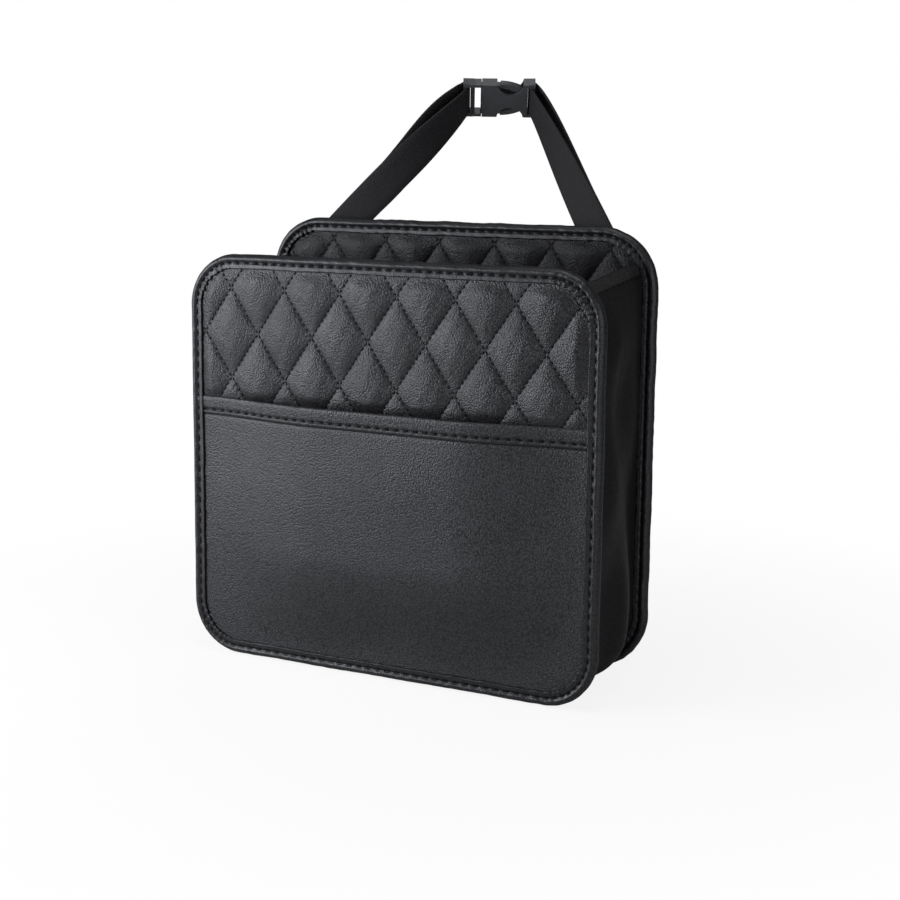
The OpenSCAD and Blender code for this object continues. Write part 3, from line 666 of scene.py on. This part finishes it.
# Painted shade in the groove under the mouth's stitches, deepest under each stitch, and in the step
# below the hem's edge.
under_thread = np.exp(-(((drop - HEM) / 0.0006) ** 2)) * (0.65 + 0.35 * between_stitches)
under_edge = np.exp(-(((drop - HEM_EDGE - 0.0006) / 0.0004) ** 2))
paint_shade(front_pocket, (under_thread + under_edge) * (lift > -0.0008))
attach(front_pocket, "bag")
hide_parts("front_pocket")

hem_x = np.arange(-19, 20) * HEM_STITCH
hem_z = POCKET_TOP - HEM + 0 * hem_x
hem_y = pocket_front(hem_x, hem_z) + 0.0003
mouth_stitches = stitch_row(
    "pocket_mouth_stitches",
    np.stack([hem_x, hem_y, hem_z - mouth_drop(hem_z)], 1),
    np.tile([1.0, 0, 0], (len(hem_x), 1)),
    np.tile([0, -1.0, 0], (len(hem_x), 1)),
    length=0.0030, thickness=0.0010,
)
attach(mouth_stitches, "bag")


# Gusset: one soft strip that makes the left side, the bottom and the right
# side. Its edges are turned out into both bindings, and its ends are hemmed.

BACK_WALL = dict(w=0.248, h=0.250, r=0.033)
REAR_Y = 0.01255
BACK_WALL_T = 0.0060
GUSSET_T = 0.0008
SEAM_IN = 0.0081
GUSSET_HEM = 0.009
HEM_STATIONS = 8
HEM_SEAM = 7.2
SAG = 0.0040
WAVE = 0.0009
WEB_SHADE = 0.75


def gusset_side(w, h, r, end_angle):
    """Stations down one side to the middle of the bottom: an arc's centre, and
    the angle at which the strip lies from it."""
    hem = math.degrees(GUSSET_HEM / (r - SEAM_IN))
    stops = [(w / 2 - r, h - r, end_angle - hem * k / HEM_STATIONS) for k in range(HEM_STATIONS)]
    stops += [(w / 2 - r, h - r, a) for a in np.linspace(end_angle - hem, 0, 10)[:-1]]
    stops += [(w / 2 - r, z, 0) for z in np.linspace(h - r, r, 91)]
    stops += [(w / 2 - r, r, a) for a in np.linspace(0, -90, 21)[1:]]
    return stops + [(x, r, -90) for x in np.linspace(w / 2 - r, 0, 31)[1:]]


def gusset_run(wall, right_end, left_end):
    """Stations all the way along: down the right side and up the left one."""
    right = gusset_side(**wall, end_angle=right_end)
    left = gusset_side(**wall, end_angle=left_end)
    return np.array(right + [(-x, z, 180 - a) for x, z, a in left[-2::-1]], float)


front_run = gusset_run(FRONT_WALL, 62, 52)
back_run = gusset_run(BACK_WALL, 36, 25)
stations = len(front_run)
k = np.arange(stations)
from_end = np.minimum(k, stations - 1 - k)
# The turned edges lie under the front wall's lining, and under the back binding.
y0 = FRONT_Y + 0.0050
y1 = y0 + GUSSET_T
y2 = REAR_Y - BACK_WALL_T + 0.0009
y3 = y2 + GUSSET_T
depth = np.linspace(0, 1, 37)[1:-1]
rng = np.random.default_rng(11)
waves = np.zeros((stations, len(depth)))
for _ in range(22):
    long_way, cross_way = rng.uniform(0.5, 8), rng.uniform(-1.8, 1.8)
    waves += rng.normal() / (1 + 0.2 * long_way) * np.sin(
        2 * math.pi * (long_way * k[:, None] / stations + cross_way * depth[None] + rng.random())
    )
full = eased((from_end - HEM_STATIONS) / 22)[:, None]
waves = waves * (1 - 0.6 * eased((from_end - 108) / 20))[:, None]
bulge = (SAG * full + WAVE * waves * (0.35 + 0.65 * full)) * np.sin(math.pi * depth)[None]
by_the_seams = (np.exp(-depth / 0.05) + np.exp(-(1 - depth) / 0.05))[None]
seam_pull = 0.00035 * np.sin(2 * math.pi * k / 5.3)[:, None] * by_the_seams
web_y = y1 + (y2 - y1) * depth
web_in = SEAM_IN - bulge - seam_pull * full
hem = from_end <= HEM_STATIONS
thick = np.where(hem, 2 * GUSSET_T, GUSSET_T)[:, None]
under_hem_thread = np.exp(-(((from_end - HEM_SEAM) / 0.7) ** 2))
groove = under_hem_thread[:, None] * 0.00035
one = np.ones((stations, 1))
edge, seam = CUT_EDGE_IN * one, SEAM_IN * one
section_y = np.concatenate([
    y0 * one, y0 * one, web_y * one, y3 * one, y3 * one,
    y2 * one, y2 * one, web_y[::-1] * one, y1 * one, y1 * one], 1)
section_in = np.concatenate([
    edge, seam + thick, web_in + thick - groove, seam + thick, edge,
    edge, seam, web_in[:, ::-1] + groove, seam, edge], 1)
share = np.clip((section_y - y1) / (y2 - y1), 0, 1)


def on_run(run, r, inset):
    """Points at each station, so far in from the wall's edge."""
    a = np.radians(run[:, 2])[:, None]
    return run[:, :1] + (r - inset) * np.cos(a), run[:, 1:2] + (r - inset) * np.sin(a)


fx, fz = on_run(front_run, FRONT_WALL["r"], section_in)
bx, bz = on_run(back_run, BACK_WALL["r"], section_in)
corners = np.stack([fx + (bx - fx) * share, section_y, fz + (bz - fz) * share], -1)
ring = corners.shape[1]
faces = lattice(stations, ring, cols_closed=True)
faces += [list(range(ring))[::-1], [(stations - 1) * ring + i for i in range(ring)]]
gusset_leather = leather(
    "gusset_leather", (0.025, 0.025, 0.0265), roughness=0.42, pebble=0.0010, depth=0.00013
)
gusset = new_piece("gusset_leather", corners.reshape(-1, 3), faces, gusset_leather)
on_hem = (from_end > 0) & (from_end < HEM_STATIONS)
# Painted shade: the web is drawn darker and less glossy all over, as it lies in shade, and each hem
# darker in its stitch groove.
paint_shade(gusset, np.repeat(np.where(on_hem, 0.9 * under_hem_thread, WEB_SHADE), ring))
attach(gusset, "bag")
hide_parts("gusset")

# Each hem is sewn down with one row that shows inside and outside the bag.
for label, station in (("right", HEM_STATIONS - 1), ("left", stations - HEM_STATIONS)):
    line = corners[station, 2:2 + len(depth)]
    outer = corners[station, 2 + len(depth) + 4:2 + 2 * len(depth) + 4][::-1]
    for face, path, sign in (("inside", line, 1), ("outside", outer, -1)):
        out = (line - outer) * sign
        out /= np.linalg.norm(out, axis=1, keepdims=True)
        length = np.concatenate([[0], np.cumsum(np.linalg.norm(np.diff(path, axis=0), axis=1))])
        at = np.arange(0.003, length[-1] - 0.002, 0.0056)
        spots = np.stack([np.interp(at, length, path[:, c]) for c in range(3)], 1)
        ways = np.stack([np.interp(at, length, np.gradient(path[:, c])) for c in range(3)], 1)
        ways /= np.linalg.norm(ways, axis=1, keepdims=True)
        outs = np.stack([np.interp(at, length, out[:, c]) for c in range(3)], 1)
        row = stitch_row(
            f"gusset_hem_stitches_{label}_{face}", spots, ways, outs,
            length=0.0036, thickness=0.0010,
        )
        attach(row, "bag")


# Boards, lining and rear cover: two stiffening boards shut in by the leather, a
# woven lining that closes the front wall's inner face, and the plain leather
# that is the bag's back. The bindings hold them all.

board_look = bpy.data.materials.new("grey_board")
board_look.use_nodes = True
board_face = board_look.node_tree.nodes["Principled BSDF"]
board_face.inputs["Base Color"].default_value = (0.4, 0.4, 0.38, 1)
board_face.inputs["Roughness"].default_value = 0.8

lining_look = bpy.data.materials.new("black_lining")
lining_look.use_nodes = True
lining_nodes, lining_links = lining_look.node_tree.nodes, lining_look.node_tree.links
lining_face = lining_nodes["Principled BSDF"]
lining_face.inputs["Base Color"].default_value = (0.018, 0.018, 0.019, 1)
lining_face.inputs["Roughness"].default_value = 0.85
lining_face.inputs["Specular IOR Level"].default_value = 0.3
lining_place = lining_nodes.new("ShaderNodeTexCoord")
lining_weave = lining_nodes.new("ShaderNodeTexNoise")
lining_weave.inputs["Scale"].default_value = 1600
lining_links.new(lining_place.outputs["Object"], lining_weave.inputs["Vector"])
lining_bump = lining_nodes.new("ShaderNodeBump")
lining_bump.inputs["Distance"].default_value = 0.00008
lining_links.new(lining_weave.outputs["Fac"], lining_bump.inputs["Height"])
lining_links.new(lining_bump.outputs["Normal"], lining_face.inputs["Normal"])

rear_leather = leather(
    "rear_leather", (0.020, 0.020, 0.022), roughness=0.46, pebble=0.0009, depth=0.00014
)
for node, look in (
    ("front_board", board_look), ("back_board", board_look),
    ("front_lining", lining_look), ("back_cover", rear_leather),
):
    sheet = bpy.data.objects[node]
    sheet.data.materials.clear()
    sheet.data.materials.append(look)


# Back quilted cover: the same leather and foam, sewn through in the same diamonds,
# on the back wall's inner face. It lines the bag, is gripped by the binding and the
# gusset's edge, and shows above the front wall. It is drawn darker and less glossy
# than the front's: painted shade, as it lies deeper in the bag.


def back_stand(x, z):
    """How far the quilting stands off the back wall, and the painted shade along its seams and over
    all of it.
    """
    inside = inside_wall(x, z, **BACK_WALL)
    pillow, pucker, line = diamonds(x, z)
    gusset_edge = 0.0026 * eased((0.228 - z) / 0.010)
    rise = eased((inside - 0.0072 - gusset_edge) / 0.0085)
    # The seams' painted shade, and painted shade over the whole sheet.
    return PUFF * rise * pillow + NEEDLE_PUCKER * rise * pucker, line + 0.35


# A darker, less glossy copy of the quilted leather: painted shade on the back wall, deeper in the
# bag.
shaded_quilted_leather = leather(
    "quilted_leather_inside_shaded", (0.009, 0.0092, 0.0102), roughness=0.46, pebble=0.00095, depth=0.00027
)
back_quilt_y = REAR_Y - BACK_WALL_T + 0.0017
back_quilt = quilted_sheet(
    "back_quilted_leather", BACK_WALL, back_quilt_y, back_stand,
    split=46, fine_from=0.0, coarse=1, material=shaded_quilted_leather,
)
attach(back_quilt, "bag")
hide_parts("back_quilted_cover")
back_seams = quilt_seams("back_quilting_stitches", BACK_WALL, 0.012, 0.244, back_quilt_y - 0.0002)
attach(back_seams, "bag")


# Back binding: the same strip of leather as on the front wall, folded round the
# edge of the taller back wall and stitched right through.

back_binding = binding_strip(
    "back_binding_leather", BACK_WALL, REAR_Y - BACK_WALL_T, BACK_WALL_T,
    binding_leather, seed=21, puckers=(0.6, 0.7, 2.2, 0.6),
)
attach(back_binding, "bag")
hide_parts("back_binding")
for label, y, way in (
    ("inner", REAR_Y - BACK_WALL_T + THREAD_SUNK, -1),
    ("outer", REAR_Y - THREAD_SUNK, 1),
):
    row = seam_round(f"back_binding_stitches_{label}", BACK_WALL, y, way)
    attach(row, "bag")


# Buckle: a plug and a socket moulded in black plastic, with softened edges and
# a fine satin face. The plug's sprung prongs catch in the socket, behind its
# finger notches, and each half has a bar for the webbing.

buckle_plastic = bpy.data.materials.new("buckle_plastic")
buckle_plastic.use_nodes = True
plastic_nodes, plastic_links = buckle_plastic.node_tree.nodes, buckle_plastic.node_tree.links
plastic = plastic_nodes["Principled BSDF"]
plastic.inputs["Base Color"].default_value = (0.060, 0.063, 0.070, 1)
plastic.inputs["Roughness"].default_value = 0.36
plastic_place = plastic_nodes.new("ShaderNodeTexCoord")
plastic_grain = plastic_nodes.new("ShaderNodeTexNoise")
plastic_grain.inputs["Scale"].default_value = 2600
plastic_links.new(plastic_place.outputs["Object"], plastic_grain.inputs["Vector"])
plastic_bump = plastic_nodes.new("ShaderNodeBump")
plastic_bump.inputs["Distance"].default_value = 0.00002
plastic_links.new(plastic_grain.outputs["Fac"], plastic_bump.inputs["Height"])
plastic_links.new(plastic_bump.outputs["Normal"], plastic.inputs["Normal"])

for node, body in (("buckle_plug", "plug"), ("buckle_socket", "bag")):
    moulding = bpy.data.objects.new(f"{node}_moulding", bpy.data.objects[node].data.copy())
    bpy.context.scene.collection.objects.link(moulding)
    moulding.data.materials.clear()
    moulding.data.materials.append(buckle_plastic)
    soft_edges = moulding.modifiers.new("soft_edges", "BEVEL")
    soft_edges.width = 0.0008
    soft_edges.use_clamp_overlap = False
    soft_edges.segments = 3
    soft_edges.limit_method = "ANGLE"
    soft_edges.angle_limit = math.radians(28)
    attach(moulding, body)
    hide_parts(node)


# Straps: woven black webbing. Each half is sewn flat to the rear cover, twists on
# its way up to the buckle, and is turned round its end bar and sewn back on
# itself.

WEB_W, WEB_T = 0.0200, 0.0013
BUCKLE_AT = np.array([0, 0.06223, 0.3215])
BUCKLE_TURN, BUCKLE_LEAN, MEET = math.radians(27), math.radians(43.5), math.radians(64)
TURN_X, TURN_R = 0.02015, 0.00235
FOOT_X, FOOT_Z, FOOT_LEAN, FOOT_LEN = 0.097, 0.226, math.radians(33), 0.016
FOOT_Y = REAR_Y - 0.0009
FOOT_STITCH = 0.0027
LOOP_SHARE = 0.6
WEB_GAP = 0.0001
along_buckle = np.array([math.cos(BUCKLE_TURN), math.sin(BUCKLE_TURN), 0])
up_buckle = np.array([
    math.sin(BUCKLE_TURN) * math.sin(BUCKLE_LEAN),
    -math.cos(BUCKLE_TURN) * math.sin(BUCKLE_LEAN),
    math.cos(BUCKLE_LEAN),
])
front_buckle = np.cross(along_buckle, up_buckle)


def unit(v):
    return v / np.linalg.norm(v, axis=-1, keepdims=True)


def foot_ways(side):
    """The ways along and across the webbing where it is sewn to the cover."""
    along = np.array([-side * math.sin(FOOT_LEAN), 0, math.cos(FOOT_LEAN)])
    return along, np.array([side * math.cos(FOOT_LEAN), 0, math.sin(FOOT_LEAN)])


def strap_path(side, bow):
    """The webbing's middle line and the way across it, from foot to tail."""
    lean, flat = foot_ways(side)
    foot = np.array([side * FOOT_X, FOOT_Y + WEB_T / 2, FOOT_Z])

    def turned(a):
        """A point on the turn round the buckle's end bar."""
        a = np.atleast_1d(a)[:, None]
        out = along_buckle * side * (TURN_X - TURN_R * np.cos(a))
        return BUCKLE_AT + out + front_buckle * TURN_R * np.sin(a)

    reach = turned(math.pi / 2 - MEET)[0]
    arrive = -side * math.cos(MEET) * along_buckle - math.sin(MEET) * front_buckle
    a, b, c, d = foot, foot + 0.014 * lean, reach - 0.015 * arrive, reach
    t = np.linspace(0, 1, 90)[:, None]
    middle = (1 - t) ** 3 * a + 3 * (1 - t) ** 2 * t * b + 3 * (1 - t) * t * t * c + t**3 * d
    ahead = unit((1 - t) ** 2 * (b - a) + 2 * (1 - t) * t * (c - b) + t * t * (d - c))
    twist = eased(t**1.3)
    across = flat * (1 - twist) + up_buckle * twist
    across = unit(across - ahead * np.sum(across * ahead, 1, keepdims=True))
    u = np.clip((t - (1 - LOOP_SHARE)) / LOOP_SHARE, 0, 1)
    closed = WEB_T + WEB_GAP
    apart = closed + (2 * TURN_R - closed) * eased(u) + bow * np.sin(math.pi * u)
    outer = middle + side * apart * np.cross(ahead, across)
    arc = turned(math.pi / 2 - MEET - math.pi * np.arange(1, 17) / 17)
    foot_run = foot - lean * np.linspace(FOOT_LEN, 0, 12)[:-1, None]
    over = foot_run[::-1] + (outer[0] - middle[0])
    path = np.concatenate([foot_run, middle, arc, outer[::-1], over])
    at_foot, at_turn = np.tile(flat, (11, 1)), np.tile(up_buckle, (16, 1))
    ways = np.concatenate([at_foot, across, at_turn, across[::-1], at_foot])
    return path, ways


webbing_weave = bpy.data.materials.new("webbing_weave")
webbing_weave.use_nodes = True
weave_nodes, weave_links = webbing_weave.node_tree.nodes, webbing_weave.node_tree.links
yarn = weave_nodes["Principled BSDF"]
yarn.inputs["Roughness"].default_value = 0.7
yarn.inputs["Specular IOR Level"].default_value = 0.15
weave_place = weave_nodes.new("ShaderNodeUVMap")
weave_place.uv_map = "along_the_webbing"
ribs = []
for axis, pitch in (("X", 0.0011), ("Y", 0.00085)):
    rib = weave_nodes.new("ShaderNodeTexWave")
    rib.bands_direction = axis
    rib.inputs["Scale"].default_value = 0.314 / pitch
    rib.inputs["Distortion"].default_value = 0.6
    rib.inputs["Detail"].default_value = 1
    weave_links.new(weave_place.outputs["UV"], rib.inputs["Vector"])
    ribs.append(rib)
both = weave_nodes.new("ShaderNodeMath")
both.operation = "MULTIPLY"
weave_links.new(ribs[0].outputs["Fac"], both.inputs[0])
weave_links.new(ribs[1].outputs["Fac"], both.inputs[1])
yarn_bump = weave_nodes.new("ShaderNodeBump")
yarn_bump.inputs["Distance"].default_value = 0.00012
weave_links.new(both.outputs[0], yarn_bump.inputs["Height"])
weave_links.new(yarn_bump.outputs["Normal"], yarn.inputs["Normal"])
yarn_tone = weave_nodes.new("ShaderNodeMix")
yarn_tone.data_type = "RGBA"
yarn_tone.inputs["A"].default_value = (0.014, 0.014, 0.016, 1)
yarn_tone.inputs["B"].default_value = (0.034, 0.034, 0.038, 1)
weave_links.new(both.outputs[0], yarn_tone.inputs["Factor"])
weave_links.new(yarn_tone.outputs["Result"], yarn.inputs["Base Color"])


def webbing(name, side, bow):
    """One half of the strap, and how long it was cut."""
    path, ways = strap_path(side, bow)
    ahead = unit(np.gradient(path, axis=0))
    up = unit(np.cross(ahead, ways))
    over = np.cross(up, ahead)
    section = [(-1, -0.55), (-0.96, -1), (-0.5, -1), (0, -1), (0.5, -1), (0.96, -1), (1, -0.55)]
    section += [(1, 0.55), (0.96, 1), (0.5, 1), (0, 1), (-0.5, 1), (-0.96, 1), (-1, 0.55)]
    section = np.array(section) * (WEB_W / 2, WEB_T / 2)
    wide, thick = section[None, :, :1], section[None, :, 1:]
    rings = path[:, None] + over[:, None] * wide + up[:, None] * thick
    n = len(section)
    faces = lattice(len(path), n, cols_closed=True)
    faces += [list(range(n))[::-1], [(len(path) - 1) * n + i for i in range(n)]]
    strap = new_piece(name, rings.reshape(-1, 3), faces, webbing_weave)
    length = np.concatenate([[0], np.cumsum(np.linalg.norm(np.diff(path, axis=0), axis=1))])
    flat_map = strap.data.uv_layers.new(name="along_the_webbing")
    spots = np.array([loop.vertex_index for loop in strap.data.loops])
    uv = np.stack([length[spots // n], section[spots % n, 0]], 1)
    flat_map.data.foreach_set("uv", uv.astype(np.float32).ravel())
    return strap, length[-1]


strap_left, left_length = webbing("left_webbing", -1, 0.006)
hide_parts("strap_left")
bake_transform(strap_left)
strap_right, right_length = webbing("right_webbing", 1, 0.002)
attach(strap_right, "bag")
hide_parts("strap_right")

# Each foot is sewn down with a box of stitches and a cross inside it.
for side, label in ((-1, "left"), (1, "right")):
    up, over = foot_ways(side)
    face_y = FOOT_Y + 2 * WEB_T + WEB_GAP
    middle = np.array([side * FOOT_X, face_y, FOOT_Z]) - up * FOOT_LEN / 2
    turns = [(-1, -1), (1, -1), (1, 1), (-1, 1), (-1, -1), (1, 1), (-1, 1), (1, -1)]
    turns = np.array([middle + over * a * 0.0080 + up * b * 0.0068 for a, b in turns])
    spots, ways = [], []
    for start, stop in zip(turns[:-1], turns[1:]):
        run = np.linalg.norm(stop - start)
        count = round(run / FOOT_STITCH)
        for share in (np.arange(count) + 0.5) / count:
            spots.append(start + (stop - start) * share)
            ways.append((stop - start) / run)
    outs = np.tile([0, 1.0, 0], (len(spots), 1))
    row = stitch_row(f"foot_stitches_{label}", spots, ways, outs, length=0.0022, thickness=0.0006)
    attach(row, "bag")
